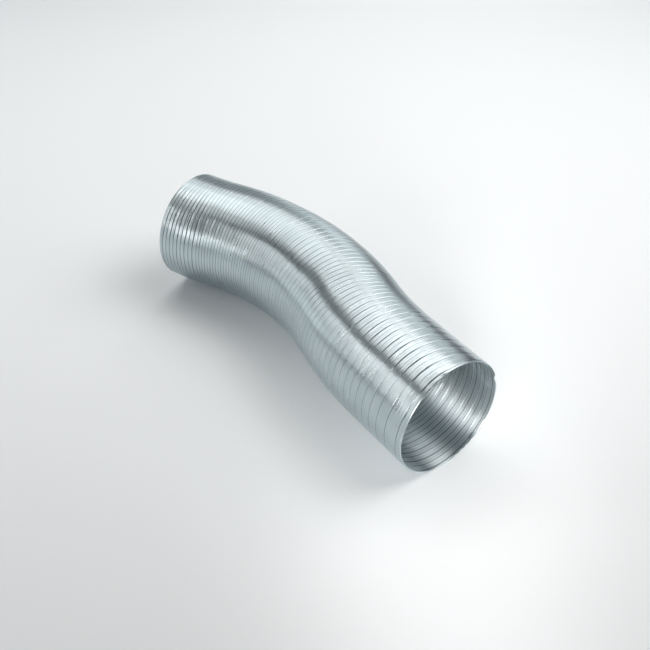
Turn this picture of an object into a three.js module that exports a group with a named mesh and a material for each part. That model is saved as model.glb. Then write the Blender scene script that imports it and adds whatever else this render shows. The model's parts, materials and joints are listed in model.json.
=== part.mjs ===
// A flexible air duct: one corrugated aluminium strip, wound round and round into a hose that lies in an S.
// Millimetres, +Z up. The duct lies on z = 0 and its mouth faces +X.
// The wall is divided along its length into short stiff bands with a flexing bellows between each two,
// and every section is placed in its own frame: its middle on the centreline, its own X along the duct.

import * as THREE from "three";

// ---- Driving dimensions ----

// Section of the hose.
const boreDiameter = 102; // clear bore inside the ribs, which slips over a 100 mm spigot
const wallThickness = 0.45; // the folded strip
const grooveDepth = 1.2; // how far the groove at each lock seam is pressed in
const grooveWidth = 2.2; // along the duct, at the surface
const sides = 16; // flat sides round the hose, one of them on the floor

const ductLength = 370; // along the centreline, from the mouth to the tail

// The strip's lead, which is how far a turn of it advances along the duct. All the leads are then stretched
// a little, so that the turns make up the duct's length.
const mouthLead = 11.6; // pulled open
const straightLead = 6.7; // by the end of the straight behind the mouth
const nearBendLead = 5.3; // pressed together
const farBendLead = 6.2; // where the far bend starts
const widestLead = 8.3; // towards the end of the far bend
const tailLead = 7;

// How the lead changes from the mouth backwards: evenly from each of these to the next, in so many turns.
const leads = [
  { lead: mouthLead, turns: 9 },
  { lead: straightLead, turns: 9 },
  { lead: nearBendLead, turns: 6 },
  { lead: farBendLead, turns: 19 },
  { lead: widestLead, turns: 8 },
  { lead: tailLead, turns: Infinity },
];

// The bends of the centreline from the mouth backwards: the share of the duct's length that each takes, and
// how many degrees it turns to the left on the way.
const bends = [
  { share: 0.054, turn: -4.6 },
  { share: 0.146, turn: 0 },
  { share: 0.2, turn: -12.7 },
  { share: 0.5, turn: 41.7 },
  { share: 0.1, turn: -7.9 },
];

// Gap between neighbouring sections, and the turns of the strip in each kind of section.
const sectionGap = 0.3;
const cuffTurns = 2;
const bandTurns = 1;
const bellowsTurns = 3;
const bellowsCount = 12;

// ---- Finish ----

const foilColour = 0xb9c2c6;
const foilRoughness = 0.28;
const foilMetalness = 1;

// ---- Sizes worked out from them ----

const innerRadius = boreDiameter / 2;
const outerRadius = innerRadius + wallThickness + grooveDepth;
const flatToCorner = 1 / Math.cos(Math.PI / sides); // the flats, not the corners, lie on the round hose
const totalTurns = 2 * cuffTurns + bellowsCount * bellowsTurns + (bellowsCount - 1) * bandTurns;
const acrossGroove = [0, 0.5, 1]; // its near edge, its bottom and its far edge, as shares of its width

// Lead of the strip before it is stretched, at a place given in turns from the mouth.
function looseLeadAt(turns) {
  let lead = leads[0].lead;
  let start = 0;
  for (let i = 1; i < leads.length; i += 1) {
    const passed = THREE.MathUtils.clamp((turns - start) / leads[i - 1].turns, 0, 1);
    lead += (leads[i].lead - leads[i - 1].lead) * passed;
    start += leads[i - 1].turns;
  }
  return lead;
}

// Distance along the centreline from the mouth, before the strip is stretched, after a number of its turns.
function looseDistanceAt(turns) {
  let distance = 0;
  let start = 0;
  for (const length of leads) {
    const run = THREE.MathUtils.clamp(turns - start, 0, length.turns);
    distance += (run * (looseLeadAt(start) + looseLeadAt(start + run))) / 2;
    start += length.turns;
  }
  return distance;
}

const stretch = ductLength / looseDistanceAt(totalTurns);

function leadAt(turns) {
  return stretch * looseLeadAt(turns);
}

function distanceAt(turns) {
  return stretch * looseDistanceAt(turns);
}

// Heading of the centreline, in radians, at a distance from the mouth: the sum of the bends passed.
function headingAt(distance) {
  let heading = 0;
  let start = 0;
  for (const bend of bends) {
    const length = bend.share * ductLength;
    const passed = THREE.MathUtils.clamp((distance - start) / length, 0, 1);
    heading += THREE.MathUtils.degToRad(bend.turn) * passed;
    start += length;
  }
  return heading;
}

// Point of the centreline at a distance from the mouth. Each bend is an arc, which its chord measures.
function centreAt(distance) {
  const point = new THREE.Vector3(0, 0, outerRadius);
  let start = 0;
  for (const bend of bends) {
    const length = bend.share * ductLength;
    const run = THREE.MathUtils.clamp(distance - start, 0, length);
    const middleHeading = (headingAt(start) + headingAt(start + run)) / 2;
    const halfTurn = (headingAt(start + run) - headingAt(start)) / 2;
    const chord = halfTurn === 0 ? run : (run * Math.sin(halfTurn)) / halfTurn;
    point.x -= chord * Math.cos(middleHeading);
    point.y -= chord * Math.sin(middleHeading);
    start += length;
  }
  return point;
}

// Turns along the duct to a place across the groove, on a turn of the strip and a side of the hose.
function grooveTurns(turn, across, side) {
  const edge = turn + side / sides;
  return edge + (across * grooveWidth) / leadAt(edge);
}

// Depth of the groove below the bands of the strip, at a place given in turns along the duct.
function grooveDepthAt(turns, side) {
  const edge = Math.floor(turns - side / sides) + side / sides;
  const across = ((turns - edge) * leadAt(edge)) / grooveWidth;
  return grooveDepth * Math.max(0, 1 - Math.abs(2 * across - 1));
}

// A point of the wall: turns along the duct, side number round it, and how deep it lies in the wall.
function wallPoint(turns, side, depthInWall) {
  const distance = distanceAt(turns);
  const angle = ((side + 0.5) / sides) * 2 * Math.PI;
  const depth = depthInWall + grooveDepthAt(turns, side);
  const radius = (outerRadius - depth) * flatToCorner;
  const heading = headingAt(distance);
  const sideways = new THREE.Vector3(-Math.sin(heading), Math.cos(heading), 0);
  const point = centreAt(distance);
  point.addScaledVector(sideways, radius * Math.cos(angle));
  point.z += radius * Math.sin(angle);
  return point;
}

// The wall between two places along the duct, as one closed body. Its rings follow the helix of the strip
// and stop at two planes square to the duct, so that neighbouring sections meet face to face.
function sectionGeometry(firstTurn, lastTurn) {
  const near = firstTurn === 0 ? 0 : firstTurn + halfGapInTurns(firstTurn);
  const far = lastTurn === totalTurns ? totalTurns : lastTurn - halfGapInTurns(lastTurn);
  const vertices = [];
  const numbers = new Map();
  const triangles = [];

  function vertexNumber(ring, side, depthInWall) {
    const held = THREE.MathUtils.clamp(grooveTurns(ring.turn, ring.across, side), near, far);
    const wrapped = side % sides;
    const key = [held.toFixed(6), wrapped, depthInWall].join();
    if (!numbers.has(key)) {
      numbers.set(key, numbers.size);
      vertices.push(...wallPoint(held, wrapped, depthInWall).toArray());
    }
    return numbers.get(key);
  }

  // A face with four corners, or with three where two of them have run together at an end plane.
  function addFace(a, b, c, d) {
    if (a !== b && b !== c && c !== a) triangles.push(a, b, c);
    if (a !== c && c !== d && d !== a) triangles.push(a, c, d);
  }

  const rings = [];
  for (let turn = Math.floor(firstTurn) - 2; turn <= lastTurn + 1; turn += 1) {
    for (const across of acrossGroove) rings.push({ turn, across });
  }
  for (let side = 0; side < sides; side += 1) {
    for (let i = 0; i + 1 < rings.length; i += 1) {
      const corners = (depth) => [
        vertexNumber(rings[i], side, depth),
        vertexNumber(rings[i + 1], side, depth),
        vertexNumber(rings[i + 1], side + 1, depth),
        vertexNumber(rings[i], side + 1, depth),
      ];
      addFace(...corners(0));
      addFace(...corners(wallThickness).reverse());
    }
    const first = rings[0];
    const last = rings[rings.length - 1];
    addFace(
      vertexNumber(first, side, 0),
      vertexNumber(first, side + 1, 0),
      vertexNumber(first, side + 1, wallThickness),
      vertexNumber(first, side, wallThickness),
    );
    addFace(
      vertexNumber(last, side + 1, 0),
      vertexNumber(last, side, 0),
      vertexNumber(last, side, wallThickness),
      vertexNumber(last, side + 1, wallThickness),
    );
  }

  const geometry = new THREE.BufferGeometry();
  geometry.setAttribute("position", new THREE.Float32BufferAttribute(vertices, 3));
  geometry.setIndex(triangles);
  return geometry;
}

// Half the gap between two sections, in turns of the strip at that place.
function halfGapInTurns(turns) {
  return sectionGap / 2 / leadAt(turns);
}

// A section as a mesh in its own frame: its middle on the centreline, its X axis along the duct.
function section(name, firstTurn, lastTurn) {
  const middle = (distanceAt(firstTurn) + distanceAt(lastTurn)) / 2;
  const place = new THREE.Matrix4().makeRotationZ(headingAt(middle));
  place.setPosition(centreAt(middle));
  const geometry = sectionGeometry(firstTurn, lastTurn).applyMatrix4(place.clone().invert());
  geometry.computeVertexNormals();
  const material = new THREE.MeshStandardMaterial({
    color: foilColour,
    roughness: foilRoughness,
    metalness: foilMetalness,
    flatShading: true,
  });
  const mesh = new THREE.Mesh(geometry, material);
  mesh.name = name;
  mesh.applyMatrix4(place);
  return mesh;
}

// ---- The duct, from the mouth to the tail ----

const duct = new THREE.Group();
duct.name = "flexible_air_duct";
let turnsPlaced = 0;

function addSection(name, turns) {
  duct.add(section(name, turnsPlaced, turnsPlaced + turns));
  turnsPlaced += turns;
}

addSection("mouth_cuff", cuffTurns);
for (let i = 1; i <= bellowsCount; i += 1) {
  const number = String(i).padStart(2, "0");
  addSection("bellows_" + number, bellowsTurns);
  if (i < bellowsCount) addSection("band_" + number, bandTurns);
}
addSection("tail_cuff", cuffTurns);

// The origin is under the middle of the duct as it lies.
const box = new THREE.Box3().setFromObject(duct);
const boxMiddle = box.getCenter(new THREE.Vector3());
duct.position.set(-boxMiddle.x, -boxMiddle.y, -box.min.z);

export default duct;
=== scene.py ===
import json
import math

import bpy
import numpy as np
from mathutils import Matrix, Vector


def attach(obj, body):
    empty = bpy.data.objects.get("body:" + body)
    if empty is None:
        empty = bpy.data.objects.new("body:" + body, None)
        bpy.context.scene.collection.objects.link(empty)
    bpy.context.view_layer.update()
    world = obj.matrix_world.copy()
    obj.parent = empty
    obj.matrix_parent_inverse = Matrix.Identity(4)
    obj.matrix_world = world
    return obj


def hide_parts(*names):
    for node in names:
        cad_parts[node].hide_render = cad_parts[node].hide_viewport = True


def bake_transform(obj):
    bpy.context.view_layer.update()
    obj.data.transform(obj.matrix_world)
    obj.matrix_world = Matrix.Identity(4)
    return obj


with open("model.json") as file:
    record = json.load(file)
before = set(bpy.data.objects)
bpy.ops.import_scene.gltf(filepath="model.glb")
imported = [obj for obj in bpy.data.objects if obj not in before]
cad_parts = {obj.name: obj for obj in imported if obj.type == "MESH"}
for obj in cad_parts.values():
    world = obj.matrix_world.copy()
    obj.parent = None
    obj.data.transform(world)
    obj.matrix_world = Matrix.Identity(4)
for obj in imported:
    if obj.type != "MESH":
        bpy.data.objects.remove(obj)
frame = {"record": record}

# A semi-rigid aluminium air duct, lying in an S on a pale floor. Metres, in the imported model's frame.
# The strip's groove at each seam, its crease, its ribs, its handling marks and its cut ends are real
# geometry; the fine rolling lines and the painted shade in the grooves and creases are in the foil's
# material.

MM = 0.001
TAU = 2 * math.pi
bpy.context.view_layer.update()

# ---- The duct's sizes, the same as the solids' ----

BORE = 102 * MM
WALL = 0.45 * MM
GROOVE_DEPTH = 1.2 * MM
OUTER = BORE / 2 + WALL + GROOVE_DEPTH
DUCT_LENGTH = 370 * MM
LEADS = [(11.6, 9), (6.7, 9), (5.3, 6), (6.2, 19), (8.3, 8), (7, math.inf)]  # lead, and turns to the next
BENDS = [(0.054, -4.6), (0.146, 0), (0.2, -12.7), (0.5, 41.7), (0.1, -7.9)]  # share of length, degrees left
CUFF_TURNS = 2
BAND_TURNS = 1
BELLOWS_TURNS = 3
BELLOWS_COUNT = 12
TOTAL_TURNS = 2 * CUFF_TURNS + BELLOWS_COUNT * BELLOWS_TURNS + (BELLOWS_COUNT - 1) * BAND_TURNS

# ---- What the foil looks like close up ----

FOIL = 0.3 * MM  # drawn thicker than the real foil
HEM = 0.9 * MM  # how much thicker the folded edge of a cut end is
HEM_RUN = 1.6 * MM
HEM_FLAT = 0.4  # share of that run over which it is as thick as at the cut
SEAM_HALF = 0.42 * MM  # half the width of the groove at each lock seam
SEAM_DEPTH = 0.22 * MM
TAIL_SEAM_DEPTH = 0.2 * MM
CREASE_HALF = 0.5 * MM  # the fold halfway between two seams, which is sharp only towards the tail
CREASE_DEPTH = 0.05 * MM
TAIL_CREASE_DEPTH = 0.17 * MM
TAIL_CHANGE = (27, 37)  # turns between which the strip changes to how it is at the tail
CROWN = 0.1 * MM  # how far a band's middle stands above its edges, where the strip is pulled open
RIBS = 4  # rolled into each turn of the strip, the seam and the crease lying between two of them
RIB_DEPTH = 0.035 * MM  # where the strip is pulled open, and more where it is pressed together
SIDES = 160  # round the duct
SEAM_ROWS = [0, 0.3, 0.55, 0.8, 1]  # where the groove is sampled, as shares of half its width
CREASE_ROWS = [-1, -0.6, -0.25, 0.25, 0.6, 1]
ROWS_BETWEEN = 6  # the groove and the crease
LIP_ROWS = 4
SLACK = 0.3 * MM  # how far the foil lies inside the solids, so that its dents and bulges stay in their box
CUT_SLACK = 0.12 * MM  # the same at its cut ends

# ---- The marks of handling: each is drawn from its own seed ----

TILT = 0.035 * MM  # of each turn of the strip
TILT_PITCH = (0.8, 4.5)  # waves in a turn
TILT_SEED = 11
SWELL = 0.03 * MM
SWELL_PITCH = (1.1, 6)
SWELL_SEED = 12
HAND_WAVES = 9  # added together for each of the two
HELD_SHARE = 0.2  # of a turn, within which the seam holds the strip still
DENTS = 12  # wide soft ones, added together
DENT_DEPTH = 0.03 * MM
DENT_LENGTHS = (50 * MM, 140 * MM)
DENT_LOBES = (2, 6)  # round the duct
DENT_SEED = 5
CUT_RAGGED = 0.35 * MM  # how far the cuts wander
CUT_WAVES = 5
CUT_PITCH = (2, 5)  # waves round the duct
MOUTH_SEED = 21
TAIL_SEED = 22
# Knocks at the mouth's edge: degrees round it, half the width in degrees, depth and run in mm. Less than
# no depth is a bulge.
RIM_DENTS = [
    (15, 7, 1.3, 6), (22, 4, -0.3, 4), (103, 5, 0.6, 4), (287, 5, 0.9, 5), (296, 3, 1.1, 4), (303, 4, 0.8, 6)
]
# Nicks in its cut: degrees round it, half the width in degrees and depth in mm.
RIM_NICKS = [
    (16, 4, 0.8), (102, 3, 0.6), (262, 2, 0.5), (284, 2, 0.7), (291, 3, 1.2), (298, 2, 0.9), (305, 2, 0.6)
]

# ---- The foil's colours and gloss ----

COLOURS = [(0.56, 0.64, 0.67), (0.515, 0.6, 0.63), (0.17, 0.215, 0.23)]  # clean, smeared, and painted shade for the seams, creases and rib valleys
ROUGHNESS = 0.29
ANISOTROPY = 0.75
# Painted light: the inside is coloured brighter than the same foil outside, so that it looks lit; its third
# colour is painted shade in its seams and creases.
INSIDE_COLOURS = [(0.79, 0.865, 0.89), (0.7, 0.78, 0.81), (0.09, 0.11, 0.12)]
INSIDE_ROUGHNESS = 0.42
INSIDE_ANISOTROPY = 0.88
INSIDE_CREASES = (-2, -1)  # turns between which painted shade grows in the creases, which inside is there all along
SEAM_FLOOR = 0.12 * MM  # half the width of a seam's middle in full painted shade
# Two turns of the strip, and how dark the seams' painted shade is at the one and at the other.
MOUTH_SEAM_SHADE = (3.0, 13.0, 1.0, 0.5)
TAIL_SEAM_SHADE = (24.0, 36.0, 0.5, 0.9)
RIB_VALLEY_SHADE = 0.13  # painted shade in the valleys between the ribs
CREASE_SHADE = (0.015, 0.065, 0.9, 0.0)  # two shares of a turn from the crease, and how dark the painted shade is at each
CLOSED_TURN = 18.0  # by which the strip is pressed together, for the seams' width in the material
CLOSED_LEAD = 5.8
NOISE_RANGE = (0.3, 0.7)
FINE_GRAIN = (26.0, 7.0)  # how often in a turn it changes, across the strip and along it
BROAD_GRAIN = (6.0, 11.0)
SMUDGES = (0.9, 14.0)  # the same, along the duct and round it
SMUDGE_GLOSS = 0.02
GRAIN_GLOSS = 0.012
GRAIN_HEIGHT = 0.006 * MM

# ---- The photograph's camera ----

IMAGE_SIZE = 650
FOCAL_PIXELS = 1000.4
SENSOR = 36
LOOK_DOWN = math.radians(38.9)
MOUTH_HEADING = math.radians(51.2)  # how far the mouth is turned towards the camera from square across it
MOUTH_DISTANCE = 790 * MM  # from the camera to the plane through the mouth's middle
MOUTH_PIXEL = (450.3, 418.1)  # where the mouth's middle is in the photograph

# ---- The lamps, the floor and the world ----

LAMP_REACH = 1.4  # metres from the duct's middle
WARM = (1, 0.965, 0.94)
COOL = (0.94, 0.99, 1)
# Soft panels round the duct: azimuth, elevation, width, height and lean in degrees, and radiance.
BRIGHT_PANELS = [
    (12, 44, 44, 28, 0, 3.2),
    (5, 62, 44, 26, 0, 2.1),
    (62, 58, 24, 20, 0, 2.1),
    (90, 63, 16, 12, 0, 1.6),
    (112, 61, 18, 12, 0, 2.8),
    (134, 61, 16, 12, 0, 2.1),
    (172, 58, 16, 12, 0, 2.2),
    (103, 50, 16, 13, 0, 1.7),
    (137, 51, 12, 9, 0, 3.5),
    (150, 53, 9, 6, 0, 2.7),
    (78, 39, 14, 13, 0, 1.3),
    (93, 38, 13, 13, 0, 1.6),
    (173, 34, 16, 9, -10, 4.1),
    (178, 27, 11, 7, -20, 2.4),
    (188, 24, 14, 9, -25, 2.7),
    (198, 20, 9, 6, -35, 1.6),
    (206, 16, 14, 10, -35, 4.8),
    (213, 11, 8, 8, -35, 1.5),
]
DIM_PANELS = [
    (109, 30, 16, 16, 0, 0.9),
    (120, 38, 12, 11, 0, 1.5),
    (72, 26, 16, 12, 0, 1.1),
    (74, 10, 20, 18, 0, 1.4),
    (96, 14, 18, 14, 0, 0.45),
    (138, 14, 20, 14, 0, 1.05),
    (150, 2, 34, 12, 0, 2.1),
    (205, 4, 14, 9, 0, 2.1),
]
# Small lamps with a grid, close before the mouth, which light its inside and little else: azimuth,
# elevation and watts.
MOUTH_LAMPS = [(-90, 12, 0.16), (-108, 34, 0.04)]
MOUTH_LAMP_REACH = 0.55
MOUTH_LAMP_SIZE = 0.17
MOUTH_LAMP_SPREAD = math.radians(36)
FLOOR_SIZE = 6  # metres from its middle to its edge
FLOOR_COLOUR = (0.91, 0.95, 0.975, 1)
FLOOR_ROUGHNESS = 0.9
FLOOR_SPECULAR = 0.1
WORLD_COLOUR = (0.008, 0.013, 0.015, 1)


# ---- The strip and the centreline ----


def loose_lead_at(turns):
    """Lead of the strip before it is stretched, at a place given in turns from the mouth."""
    lead = LEADS[0][0]
    start = 0
    for (here, count), (there, _) in zip(LEADS, LEADS[1:]):
        lead = lead + (there - here) * np.clip((turns - start) / count, 0, 1)
        start += count
    return lead * MM


def loose_distance_at(turns):
    distance = 0
    start = 0
    for _, count in LEADS:
        run = np.clip(turns - start, 0, count)
        distance = distance + run * (loose_lead_at(start) + loose_lead_at(start + run)) / 2
        start += count
    return distance


STRETCH = DUCT_LENGTH / loose_distance_at(TOTAL_TURNS)


def lead_at(turns):
    return STRETCH * loose_lead_at(turns)


def distance_at(turns):
    """Distance along the centreline after a number of turns of the strip."""
    return STRETCH * loose_distance_at(turns)


def heading_at(distance):
    heading = 0
    start = 0
    for share, turn in BENDS:
        heading = heading + math.radians(turn) * np.clip((distance - start) / (share * DUCT_LENGTH), 0, 1)
        start += share * DUCT_LENGTH
    return heading


def mouth_middle():
    """Where the centreline leaves the mouth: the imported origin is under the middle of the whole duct."""
    mount = next(m for m in frame["record"]["mounts"] if m["name"] == "mouth_rim")
    return mount["pos_m"][0], mount["pos_m"][1]


def centre_at(distance):
    """x and y of the centreline. Each bend is an arc, which its chord measures."""
    x, y = mouth_middle()
    start = 0
    heading = 0
    for share, turn in BENDS:
        length = share * DUCT_LENGTH
        rate = math.radians(turn) / length
        run = np.clip(distance - start, 0, length)
        chord = run * np.sinc(rate * run / TAU)
        x = x - chord * np.cos(heading + rate * run / 2)
        y = y - chord * np.sin(heading + rate * run / 2)
        start += length
        heading += math.radians(turn)
    return x, y


# ---- The wall's relief: how far each place lies below the crown of the bands ----


def smooth(value):
    value = np.clip(value, 0, 1)
    return value * value * (3 - 2 * value)


def bump(offset, half_width):
    """1 at no offset, falling smoothly to 0 at half a width on either side."""
    return smooth(1 - np.abs(offset) / half_width)


def waves(value, count, slowest, fastest, seed):
    """A smooth random curve, mostly from -1 to 1: sine waves of random pitch between two limits."""
    rng = np.random.default_rng(seed)
    total = np.zeros_like(value)
    for pitch, phase in zip(rng.uniform(slowest, fastest, count), rng.uniform(0, TAU, count)):
        total += np.sin(TAU * pitch * value + phase)
    return total / math.sqrt(count)


def strip_relief(turn, angle, share):
    """The groove at the seam, the crease halfway to the next, the ribs and the slight crown of the band."""
    along_strip = turn + angle / TAU
    lead = lead_at(along_strip)
    tail = smooth((along_strip - TAIL_CHANGE[0]) / (TAIL_CHANGE[1] - TAIL_CHANGE[0]))
    from_seam = np.minimum(share, 1 - share) * lead
    groove = (SEAM_DEPTH + (TAIL_SEAM_DEPTH - SEAM_DEPTH) * tail) * bump(from_seam, SEAM_HALF)
    fold_depth = CREASE_DEPTH + (TAIL_CREASE_DEPTH - CREASE_DEPTH) * tail
    fold = fold_depth * bump((share - 0.5) * lead, CREASE_HALF)
    opened = lead / (LEADS[0][0] * MM)
    ribs = RIB_DEPTH / opened * (1 + np.cos(RIBS * TAU * share)) / 2
    crown = CROWN * opened * (1 - from_seam / (lead / 2)) ** 2
    return groove + fold + ribs + crown


def hand_relief(turn, angle, share):
    """How handling has tilted each turn of the strip a little differently from its neighbours."""
    along_strip = turn + angle / TAU
    held = smooth(np.minimum(share, 1 - share) / HELD_SHARE)
    tilt = TILT * waves(along_strip, HAND_WAVES, *TILT_PITCH, TILT_SEED)
    swell = SWELL * waves(along_strip, HAND_WAVES, *SWELL_PITCH, SWELL_SEED)
    return held * (tilt * (share - 0.5) * 2 + swell)


def dents(distance, angle):
    """Wide soft dents that run over several turns."""
    total = np.zeros(np.broadcast(distance, angle).shape)
    rng = np.random.default_rng(DENT_SEED)
    for _ in range(DENTS):
        lobes = rng.integers(*DENT_LOBES)
        length = rng.uniform(*DENT_LENGTHS)
        total += np.sin(TAU * distance / length + lobes * angle + rng.uniform(0, TAU))
    return DENT_DEPTH * total


def degrees_past(place, angle):
    """How far an angle in radians is past a place in degrees, from -180 to 180 degrees."""
    return (np.degrees(angle) - place + 180) % 360 - 180


def rim_dents(distance, angle):
    """The knocks that the mouth's edge has taken, each pressed inwards and soon gone further in."""
    total = np.zeros(np.broadcast(distance, angle).shape)
    for place, half_width, depth, run in RIM_DENTS:
        pressed = bump(degrees_past(place, angle), half_width) * smooth(1 - distance / (run * MM))
        total += depth * MM * pressed
    return total


def wall_point(turns, angle, depth):
    """A point of the wall: turns along the duct, angle round it, and how deep it lies in the wall."""
    distance = distance_at(turns)
    ring = turns - angle / TAU
    turn = np.floor(ring + 1e-9)  # a place on a seam belongs to the turn that starts there
    share = np.clip(ring - turn, 0, 1)
    relief = strip_relief(turn, angle, share) + hand_relief(turn, angle, share)
    relief = relief + dents(distance, angle) + rim_dents(distance, angle)
    radius = OUTER - SLACK - depth - relief
    heading = heading_at(distance)
    x, y = centre_at(distance)
    sideways = radius * np.cos(angle)
    up = radius * np.sin(angle)
    return np.stack([x - sideways * np.sin(heading), y + sideways * np.cos(heading), OUTER + up], axis=-1)


def wall_normal(turns, angle, depth):
    """The wall's outward normal, from its slopes along and round the duct."""
    step = 0.006  # turns along the duct, and radians round it
    along = wall_point(turns + step, angle, depth) - wall_point(turns - step, angle, depth)
    around = wall_point(turns, angle + step, depth) - wall_point(turns, angle - step, depth)
    normal = np.cross(along, around)
    return normal / np.linalg.norm(normal, axis=-1, keepdims=True)


# ---- Sections of the wall as meshes ----


def cut_back(angle, seed):
    """How far a cut end lies back from the duct's square end: ragged where the snips went."""
    share = angle / TAU
    ragged = waves(share, CUT_WAVES, *CUT_PITCH, seed).clip(-1, 1)
    back = (HEM + FOIL) / 2 + CUT_SLACK + CUT_RAGGED * (1 + ragged) / 2
    for place, half_width, depth in RIM_NICKS if seed == MOUTH_SEED else []:
        back = back + depth * MM * bump(degrees_past(place, angle), half_width)
    return back


def hem(turns):
    """How much thicker the foil is folded, beside either cut end of the duct."""
    distance = distance_at(turns)
    from_end = np.minimum(distance, DUCT_LENGTH - distance)
    return HEM * smooth(1 + HEM_FLAT - from_end / HEM_RUN)


def strip_rows(lead):
    """Shares across one turn at which the wall is sampled, close together in the groove and the crease."""
    near = np.array(SEAM_ROWS)[:, None] * SEAM_HALF / lead
    middle = 0.5 + np.array(CREASE_ROWS)[:, None] * CREASE_HALF / lead
    gaps = np.arange(1, ROWS_BETWEEN + 1)[:, None] / (ROWS_BETWEEN + 1)
    first = near[-1] + gaps * (middle[0] - near[-1])
    second = middle[-1] + gaps * (1 - near[-1] - middle[-1])
    return np.concatenate([near, first, middle, second, 1 - near[:0:-1]])


def section_grid(first_turn, last_turn, angles):
    """Turns along the duct at each row of the strip and each side, each place's vertex number, and the rows
    that lie on the two ends."""
    rows = []
    for turn in range(math.floor(first_turn) - 2, math.ceil(last_turn) + 1):
        edge = turn + angles / TAU
        rows.append(edge + strip_rows(lead_at(edge)))
    per_turn = len(rows[0])
    turns = np.concatenate(rows)
    first = first_turn + 0 * angles
    last = last_turn + 0 * angles
    if first_turn == 0:
        first = cut_back(angles, MOUTH_SEED) / lead_at(0)
    if last_turn == TOTAL_TURNS:
        last = last - cut_back(angles, TAIL_SEED) / lead_at(TOTAL_TURNS)
    low = (turns <= first).sum(axis=0) - 1
    high = len(turns) - (turns >= last).sum(axis=0)
    row = np.arange(len(turns))[:, None]
    number = np.clip(row, low, high) * SIDES + np.arange(SIDES)
    wrapped = np.clip(row + per_turn, low[0], high[0]) * SIDES
    return np.clip(turns, first, last), np.concatenate([number, wrapped], axis=1), (low, high)


def lip(outside, inside, forward):
    """Points and normals of a cut end's rolled edge: half a round from the wall's outside to its inside."""
    middle = (outside + inside) / 2
    radius = np.linalg.norm(outside - middle, axis=-1, keepdims=True)
    outward = (outside - middle) / radius
    turn = np.linspace(0, math.pi, LIP_ROWS + 2)[1:-1, None, None]
    normal = outward * np.cos(turn) + forward * np.sin(turn)
    return middle + normal * radius, normal


class Sheets:
    """Vertices and faces collected from grids of places, before they become one mesh."""

    def __init__(self):
        self.points, self.normals, self.turns = [], [], []
        self.corners, self.around, self.slots = [], [], []
        self.count = 0

    def add_points(self, points, normals, turns):
        self.points.append(points.reshape(-1, 3))
        self.normals.append(normals.reshape(-1, 3))
        self.turns.append(np.broadcast_to(turns, points.shape[:-1]).ravel())
        first = self.count
        self.count += points.size // 3
        return first

    def add_faces(self, number, flip, slot=0):
        """Faces between the rows and columns of a grid of vertex numbers, one column more than the sides."""
        share = np.broadcast_to(np.arange(SIDES + 1) / SIDES, number.shape)
        parts = [np.s_[:-1, :-1], np.s_[1:, :-1], np.s_[1:, 1:], np.s_[:-1, 1:]]
        if flip:
            parts.reverse()
        self.corners.append(np.stack([number[part].ravel() for part in parts], axis=-1))
        self.slots.append(np.full(len(self.corners[-1]), slot))
        self.around.append(np.stack([share[part].ravel() for part in parts], axis=-1))

    def mesh(self, name):
        """The mesh, without the corners and faces that its square ends have closed up."""
        corners, around = np.concatenate(self.corners), np.concatenate(self.around)
        kept = corners != np.roll(corners, -1, axis=1)
        sound = (kept.sum(axis=1) >= 3)[:, None] & kept
        sizes = sound.sum(axis=1)
        slots = np.concatenate(self.slots)[sizes > 0]
        sizes = sizes[sizes > 0]
        used, loops = np.unique(corners[sound], return_inverse=True)
        points = np.concatenate(self.points)[used]
        turns = np.concatenate(self.turns)[corners[sound]]
        around = around[sound]
        mesh = bpy.data.meshes.new(name)
        mesh.vertices.add(len(points))
        mesh.vertices.foreach_set("co", points.ravel())
        mesh.loops.add(len(loops))
        mesh.loops.foreach_set("vertex_index", loops.ravel())
        mesh.polygons.add(len(sizes))
        mesh.polygons.foreach_set("loop_start", np.concatenate([[0], np.cumsum(sizes)[:-1]]))
        mesh.polygons.foreach_set("use_smooth", np.ones(len(sizes), bool))
        mesh.polygons.foreach_set("material_index", slots)
        mesh.update(calc_edges=True)
        strip = mesh.uv_layers.new(name="strip")
        strip.uv.foreach_set("vector", np.stack([turns - around, around], axis=-1).ravel())
        mesh.normals_split_custom_set_from_vertices(np.concatenate(self.normals)[used])
        return mesh


def add_lip(sheets, edge, way, outside, inside, within, turns):
    """The rolled edge between the two sheets at a cut end: at the mouth for way 1, at the tail for -1."""
    place = (edge, np.arange(SIDES))
    heading = heading_at(distance_at(turns[place]))
    forward = way * np.stack([np.cos(heading), np.sin(heading), 0 * heading], axis=-1)
    points, normals = lip(outside[place], inside[place], forward)
    first = sheets.add_points(points, normals, turns[place])
    rim = first + np.arange(LIP_ROWS * SIDES).reshape(LIP_ROWS, SIDES)
    outer = edge * SIDES + np.arange(SIDES)
    rim = np.concatenate([outer[None], rim, outer[None] + within])
    sheets.add_faces(np.concatenate([rim, rim[:, :1]], axis=1), way == 1)


def section_mesh(name, first_turn, last_turn):
    """The foil between two planes square to the duct, and the rolled edge where one of them is a cut end."""
    angles = np.arange(SIDES) / SIDES * TAU
    turns, number, (near_edge, far_edge) = section_grid(first_turn, last_turn, angles)
    angle = np.broadcast_to(angles, turns.shape)
    sheets = Sheets()
    outside = wall_point(turns, angle, 0)
    inside = wall_point(turns, angle, FOIL + hem(turns))
    sheets.add_points(outside, wall_normal(turns, angle, 0), turns)
    within = sheets.add_points(inside, -wall_normal(turns, angle, FOIL), turns)
    sheets.add_faces(number, False)
    sheets.add_faces(number + within, True, slot=1)
    if first_turn == 0:
        add_lip(sheets, near_edge, 1, outside, inside, within, turns)
    if last_turn == TOTAL_TURNS:
        add_lip(sheets, far_edge, -1, outside, inside, within, turns)
    return sheets.mesh(name)


# ---- The foil's material ----


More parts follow.
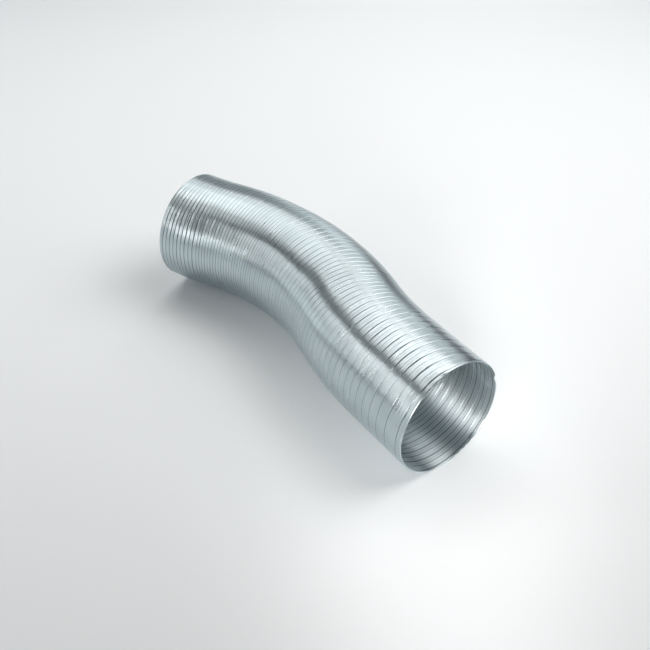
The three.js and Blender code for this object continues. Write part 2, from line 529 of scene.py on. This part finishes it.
class Nodes:
    """A material's node tree, with a short way to add a node and join its sockets."""

    def __init__(self, material):
        material.use_nodes = True
        self.tree = material.node_tree
        self.shader = self.tree.nodes["Principled BSDF"]

    def add(self, kind, inputs=(), **settings):
        node = self.tree.nodes.new(kind)
        for name, value in settings.items():
            setattr(node, name, value)
        for index, value in enumerate(inputs):
            if value is None:
                continue
            if isinstance(value, bpy.types.NodeSocket):
                self.tree.links.new(value, node.inputs[index])
            else:
                node.inputs[index].default_value = value
        return node

    def math(self, operation, *values):
        return self.add("ShaderNodeMath", values, operation=operation).outputs[0]

    def noise(self, x, y, scales, detail, roughness=0.5):
        """Noise over two sockets, each times its own scale."""
        x, y = (self.math("MULTIPLY", value, scale) for value, scale in zip((x, y), scales))
        place = self.add("ShaderNodeCombineXYZ", (x, y, 0.0)).outputs[0]
        node = self.add("ShaderNodeTexNoise", (place, None, 1.0, detail, roughness), noise_dimensions="3D")
        return node.outputs["Fac"]

    def spread(self, value, low, high, to_low, to_high):
        """A value's range from low to high, spread over another range and held within it."""
        node = self.add("ShaderNodeMapRange", (value, low, high, to_low, to_high))
        node.clamp = True
        return node.outputs[0]

    def link(self, socket, name):
        self.tree.links.new(socket, self.shader.inputs[name])


def blended(nodes, factor, low, high):
    """A colour between two others, each a colour or a socket."""
    mix = nodes.add("ShaderNodeMix", data_type="RGBA")
    nodes.tree.links.new(factor, mix.inputs["Factor"])
    for name, value in (("A", low), ("B", high)):
        if isinstance(value, bpy.types.NodeSocket):
            nodes.tree.links.new(value, mix.inputs[name])
        else:
            mix.inputs[name].default_value = (*value, 1)
    return mix.outputs["Result"]


def painted_shade(nodes, across, along, crease_turns):
    """How much painted shade darkens the foil: in the seams, where it also stands partly for oxide, in the
    creases beyond some turns, a little between the ribs.
    """
    from_seam = nodes.math("MINIMUM", across, nodes.math("SUBTRACT", 1.0, across))
    lead = nodes.spread(along, 0.0, CLOSED_TURN, LEADS[0][0], CLOSED_LEAD)
    offset = nodes.math("MULTIPLY", from_seam, lead)
    seam = nodes.spread(offset, SEAM_FLOOR / MM, SEAM_HALF / MM, 1.0, 0.0)
    # The seams' painted shade is darker near the mouth and at the tail.
    strength = nodes.math("MAXIMUM", nodes.spread(along, *MOUTH_SEAM_SHADE), nodes.spread(along, *TAIL_SEAM_SHADE))
    groove = nodes.math("MULTIPLY", seam, strength)
    valleys = nodes.math("COSINE", nodes.math("MULTIPLY", across, RIBS * TAU))
    groove = nodes.math("MAXIMUM", groove, nodes.spread(valleys, 0.5, 1.0, 0.0, RIB_VALLEY_SHADE))
    fold = nodes.spread(nodes.math("ABSOLUTE", nodes.math("SUBTRACT", across, 0.5)), *CREASE_SHADE)
    crease = nodes.math("MULTIPLY", fold, nodes.spread(along, *crease_turns, 0.0, 1.0))
    return nodes.math("MAXIMUM", groove, crease)


def link_relief(nodes, height):
    """Fine relief on the foil, and its grain, which runs along the strip."""
    tangent = nodes.add("ShaderNodeTangent", direction_type="UV_MAP", uv_map="strip").outputs[0]
    nodes.link(tangent, "Tangent")
    relief = nodes.add("ShaderNodeBump")
    relief.inputs["Strength"].default_value = 1.0
    relief.inputs["Distance"].default_value = GRAIN_HEIGHT
    nodes.tree.links.new(height, relief.inputs["Height"])
    nodes.link(relief.outputs[0], "Normal")


def foil_material(name, colours, crease_turns, roughness, anisotropy):
    """Foil with smudges, lines of painted shade and a grain. The strip's map gives turns along the duct and
    round it.
    """
    material = bpy.data.materials.new(name)
    nodes = Nodes(material)
    nodes.shader.inputs["Metallic"].default_value = 1.0
    nodes.shader.inputs["Anisotropic"].default_value = anisotropy
    strip = nodes.add("ShaderNodeUVMap", uv_map="strip").outputs[0]
    ring, around, _ = nodes.add("ShaderNodeSeparateXYZ", (strip,)).outputs
    across = nodes.math("FRACT", ring)
    along = nodes.math("ADD", nodes.math("FLOOR", ring), around)
    fine = nodes.noise(across, along, FINE_GRAIN, detail=3.0, roughness=0.6)
    broad = nodes.noise(across, along, BROAD_GRAIN, detail=2.0)
    smudge = nodes.noise(ring, around, SMUDGES, detail=3.0)

    clean, smeared, shade_colour = colours
    colour = blended(nodes, nodes.spread(smudge, *NOISE_RANGE, 0.0, 1.0), smeared, clean)
    # Painted shade: the seams, creases and rib valleys are darkened towards the third colour.
    nodes.link(blended(nodes, painted_shade(nodes, across, along, crease_turns), colour, shade_colour), "Base Color")
    gloss = nodes.spread(smudge, *NOISE_RANGE, roughness + SMUDGE_GLOSS, roughness - SMUDGE_GLOSS)
    grain = nodes.spread(fine, *NOISE_RANGE, -GRAIN_GLOSS, GRAIN_GLOSS)
    nodes.link(nodes.math("ADD", gloss, grain), "Roughness")
    link_relief(nodes, nodes.math("ADD", fine, broad))
    return material


def foil_materials():
    """The foil's outside, and its inside, painted brighter to look lit, whose reflections are blurred
    further.
    """
    return (
        foil_material("aluminium_foil", COLOURS, TAIL_CHANGE, ROUGHNESS, ANISOTROPY),
        foil_material(
            "aluminium_foil_inside", INSIDE_COLOURS, INSIDE_CREASES, INSIDE_ROUGHNESS, INSIDE_ANISOTROPY
        ),
    )


# ---- The duct ----


def sections():
    """Name and turns of each section of the wall, from the mouth to the tail."""
    listed = [("mouth_cuff", CUFF_TURNS)]
    for i in range(1, BELLOWS_COUNT + 1):
        listed.append((f"bellows_{i:02d}", BELLOWS_TURNS))
        if i < BELLOWS_COUNT:
            listed.append((f"band_{i:02d}", BAND_TURNS))
    return listed + [("tail_cuff", CUFF_TURNS)]


def join_bellows(piece):
    """Bake a bellows' placement into its mesh; it is left with no body. Its ends stay square."""
    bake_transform(piece)


def add_duct():
    materials = foil_materials()
    listed = sections()
    bodies = frame["record"]["behaviour"]["bodies"]
    body_of = {node: body for body, nodes in bodies.items() for node in nodes}
    turn = 0
    for index, (node, turns) in enumerate(listed):
        piece = bpy.data.objects.new(node + "_foil", section_mesh(node + "_foil", turn, turn + turns))
        bpy.context.collection.objects.link(piece)
        for material in materials:
            piece.data.materials.append(material)
        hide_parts(node)
        if node.startswith("bellows"):
            join_bellows(piece)
        else:
            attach(piece, body_of[node])
        turn += turns


# ---- The studio ----


def seen_from_camera(azimuth, elevation):
    """Unit direction for an azimuth in degrees from the camera's right, anticlockwise, and an elevation."""
    a = math.radians(azimuth) + MOUTH_HEADING
    e = math.radians(elevation)
    return Vector((math.cos(a) * math.cos(e), math.sin(a) * math.cos(e), math.sin(e)))


def add_camera():
    right = seen_from_camera(0, 0)
    forward = seen_from_camera(90, -math.degrees(LOOK_DOWN))
    up = right.cross(forward)
    x = (MOUTH_PIXEL[0] - IMAGE_SIZE / 2) / FOCAL_PIXELS * MOUTH_DISTANCE
    y = (IMAGE_SIZE / 2 - MOUTH_PIXEL[1]) / FOCAL_PIXELS * MOUTH_DISTANCE
    place = Vector((*mouth_middle(), OUTER)) - forward * MOUTH_DISTANCE - right * x - up * y
    data = bpy.data.cameras.new("camera")
    data.sensor_width = SENSOR
    data.lens = FOCAL_PIXELS / IMAGE_SIZE * SENSOR
    camera = bpy.data.objects.new("camera", data)
    camera.matrix_world = Matrix.Translation(place) @ Matrix((right, up, -forward)).transposed().to_4x4()
    bpy.context.collection.objects.link(camera)
    bpy.context.scene.camera = camera


def add_lamp(name, data, azimuth, elevation, target, reach, lean=0):
    """Put a lamp as far as its reach from the target, which it faces."""
    lamp = bpy.data.objects.new(name, data)
    direction = seen_from_camera(azimuth, elevation)
    facing = direction.to_track_quat("Z", "Y").to_matrix().to_4x4()
    facing = facing @ Matrix.Rotation(math.radians(lean), 4, "Z")
    lamp.matrix_world = Matrix.Translation(target + direction * reach) @ facing
    bpy.context.collection.objects.link(lamp)


def add_softbox(name, colour, azimuth, elevation, width, height, lean, radiance):
    """A flat lamp that faces the duct, seen from it as width by height degrees."""
    data = bpy.data.lights.new(name, "AREA")
    data.shape = "RECTANGLE"
    data.size = 2 * LAMP_REACH * math.tan(math.radians(width / 2))
    data.size_y = 2 * LAMP_REACH * math.tan(math.radians(height / 2))
    data.energy = radiance * math.pi * data.size * data.size_y
    data.color = colour
    add_lamp(name, data, azimuth, elevation, Vector((0, 0, OUTER)), LAMP_REACH, lean)


def add_mouth_lamp(name, azimuth, elevation, watts):
    """A small lamp with a grid, which faces the mouth."""
    data = bpy.data.lights.new(name, "AREA")
    data.size = MOUTH_LAMP_SIZE
    data.spread = MOUTH_LAMP_SPREAD
    data.energy = watts
    data.color = WARM
    add_lamp(name, data, azimuth, elevation, Vector((*mouth_middle(), OUTER)), MOUTH_LAMP_REACH)


def add_floor():
    mesh = bpy.data.meshes.new("floor")
    corners = [(x * FLOOR_SIZE, y * FLOOR_SIZE, 0) for x, y in ((-1, -1), (1, -1), (1, 1), (-1, 1))]
    mesh.from_pydata(corners, [], [(0, 1, 2, 3)])
    floor = bpy.data.objects.new("floor", mesh)
    bpy.context.collection.objects.link(floor)
    material = bpy.data.materials.new("floor")
    material.use_nodes = True
    shader = material.node_tree.nodes["Principled BSDF"]
    shader.inputs["Base Color"].default_value = FLOOR_COLOUR
    shader.inputs["Roughness"].default_value = FLOOR_ROUGHNESS
    shader.inputs["Specular IOR Level"].default_value = FLOOR_SPECULAR
    mesh.materials.append(material)


def add_world():
    world = bpy.data.worlds.new("world")
    world.use_nodes = True
    world.node_tree.nodes["Background"].inputs["Color"].default_value = WORLD_COLOUR
    bpy.context.scene.world = world


add_camera()
add_floor()
add_world()
for number, panel in enumerate(BRIGHT_PANELS, 1):
    add_softbox(f"bright_panel_{number:02d}", WARM, *panel)
for number, panel in enumerate(DIM_PANELS, 1):
    add_softbox(f"dim_panel_{number:02d}", COOL, *panel)
for number, lamp in enumerate(MOUTH_LAMPS, 1):
    add_mouth_lamp(f"mouth_lamp_{number}", *lamp)
add_duct()
bpy.context.scene.view_settings.view_transform = "Standard"
